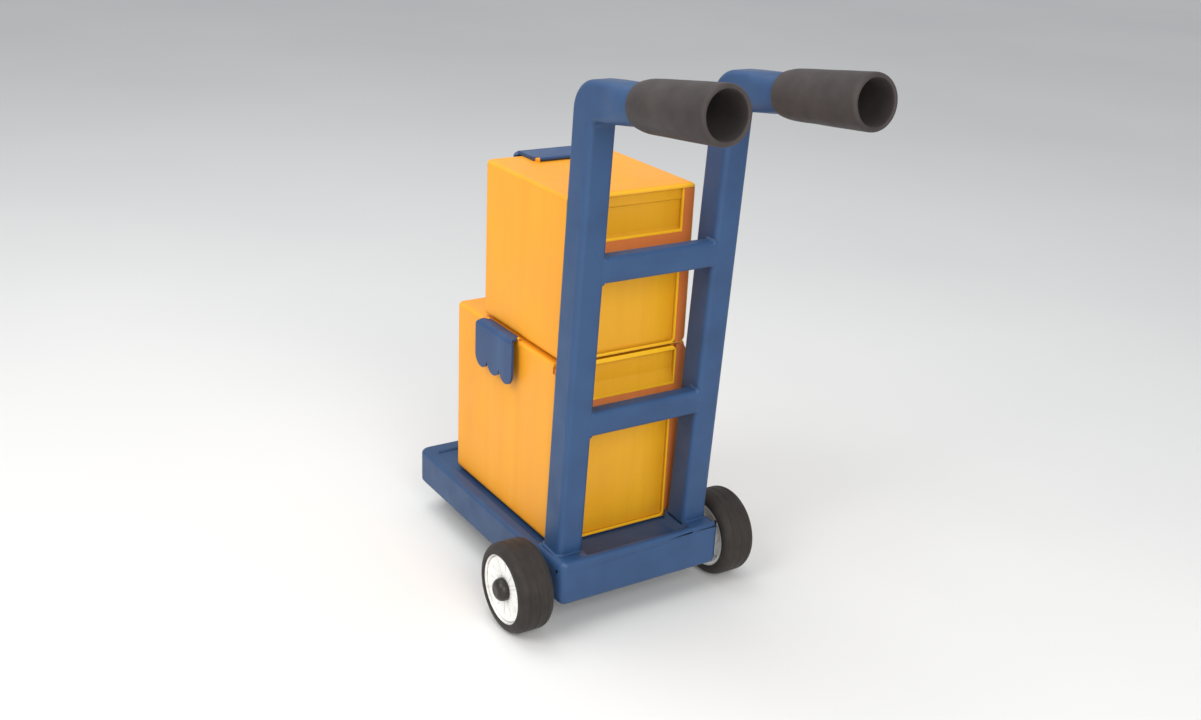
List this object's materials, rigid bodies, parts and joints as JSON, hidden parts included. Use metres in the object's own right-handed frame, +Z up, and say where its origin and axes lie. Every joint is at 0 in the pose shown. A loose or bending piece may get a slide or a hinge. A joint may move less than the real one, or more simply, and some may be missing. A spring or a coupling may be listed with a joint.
{
  "type": "book cart",
  "caption": "Small upright hand cart for books: leaning ladder frame with rear-facing grips, flat base, two wheels, and stacked lidded bins.",
  "frame": {"origin": "on the floor, at the middle of the cart's length and width", "axes": "+X towards the right-hand wheel seen from behind, +Y from the handles to the front of the base, +Z up"},
  "size_m": [0.362, 0.6144, 0.71],
  "materials": {
    "frame_blue": "satin powder coat, light orange peel",
    "bin_yellow": "moulded plastic, fine satin grain",
    "tray_gold": "moulded plastic, semi-gloss",
    "frame_orange": "moulded plastic, satin",
    "clip_blue": "moulded plastic, satin",
    "grip_grey": "moulded rubber, matte",
    "tyre_grey": "solid rubber, matte",
    "hub_white": "moulded plastic, semi-gloss",
    "cap_black": "moulded plastic, satin",
    "foot_black": "moulded rubber, matte",
    "bush_nylon": "natural nylon",
    "bright_steel": "drawn bar"
  },
  "bodies": {
    "frame": {"rear_crossbeam": "frame_blue", "left_side_rail": "frame_blue", "right_side_rail": "frame_blue", "front_rail": "frame_blue", "deck_plate": "frame_blue", "left_stile": "frame_blue", "right_stile": "frame_blue", "lower_rung": "frame_blue", "upper_rung": "frame_blue", "left_handle": "frame_blue", "right_handle": "frame_blue", "left_handle_plug": "cap_black", "right_handle_plug": "cap_black", "left_grip": "grip_grey", "right_grip": "grip_grey", "axle": "bright_steel", "left_axle_spacer": "bright_steel", "right_axle_spacer": "bright_steel", "left_axle_cap": "cap_black", "right_axle_cap": "cap_black", "left_front_leg": "frame_blue", "right_front_leg": "frame_blue", "left_front_foot": "foot_black", "right_front_foot": "foot_black"},
    "left_wheel": {"left_tyre": "tyre_grey", "left_hub": "hub_white", "left_hub_disc": "hub_white", "left_wheel_bushes": "bush_nylon"},
    "right_wheel": {"right_tyre": "tyre_grey", "right_hub": "hub_white", "right_hub_disc": "hub_white", "right_wheel_bushes": "bush_nylon"},
    "lower_bin": {"lower_bin_shell": "bin_yellow", "lower_bin_back_frame": "frame_orange", "lower_bin_pocket_tray": "tray_gold", "lower_bin_rear_panel": "tray_gold"},
    "lower_lid": {"lower_bin_lid": "bin_yellow", "lower_left_clip_pin": "bright_steel", "lower_right_clip_pin": "bright_steel"},
    "left_clip": {"lower_left_clip": "clip_blue"},
    "right_clip": {"lower_right_clip": "clip_blue"},
    "upper_bin": {"upper_bin_shell": "bin_yellow", "upper_bin_back_frame": "frame_orange", "upper_bin_pocket_tray": "tray_gold", "upper_bin_rear_panel": "tray_gold"},
    "upper_lid": {"upper_bin_lid": "bin_yellow", "upper_front_clip_pin": "bright_steel"},
    "front_clip": {"upper_front_clip": "clip_blue"}
  },
  "joints": [
    {"name": "left_wheel_spin", "type": "hinge", "parent": "frame", "child": "left_wheel", "pos_m": [-0.15, -0.0378, 0.0567], "axis": [1, 0, 0], "continuous": true},
    {"name": "right_wheel_spin", "type": "hinge", "parent": "frame", "child": "right_wheel", "pos_m": [0.15, -0.0378, 0.0567], "axis": [1, 0, 0], "continuous": true},
    {"name": "lower_bin_lift", "type": "slide", "parent": "frame", "child": "lower_bin", "axis": [0, 0, 1], "range_m": [0, 0.12]},
    {"name": "lower_lid_lift", "type": "slide", "parent": "lower_bin", "child": "lower_lid", "axis": [0, 0, 1], "range_m": [0, 0.06]},
    {"name": "left_clip_swing", "type": "hinge", "parent": "lower_lid", "child": "left_clip", "pos_m": [-0.0925, 0.1138, 0.3288], "axis": [0, 1, 0], "range_deg": [0, 75]},
    {"name": "right_clip_swing", "type": "hinge", "parent": "lower_lid", "child": "right_clip", "pos_m": [0.0925, 0.1138, 0.3288], "axis": [0, -1, 0], "range_deg": [0, 75]},
    {"name": "upper_bin_lift", "type": "slide", "parent": "lower_lid", "child": "upper_bin", "axis": [0, 0, 1], "range_m": [0, 0.12]},
    {"name": "upper_lid_open", "type": "hinge", "parent": "upper_bin", "child": "upper_lid", "pos_m": [0, -0.0203, 0.5263], "axis": [1, 0, 0], "range_deg": [0, 100]},
    {"name": "front_clip_swing", "type": "hinge", "parent": "upper_lid", "child": "front_clip", "pos_m": [0, 0.138, 0.5346], "axis": [1, 0, 0], "range_deg": [0, 75]}
  ]
}
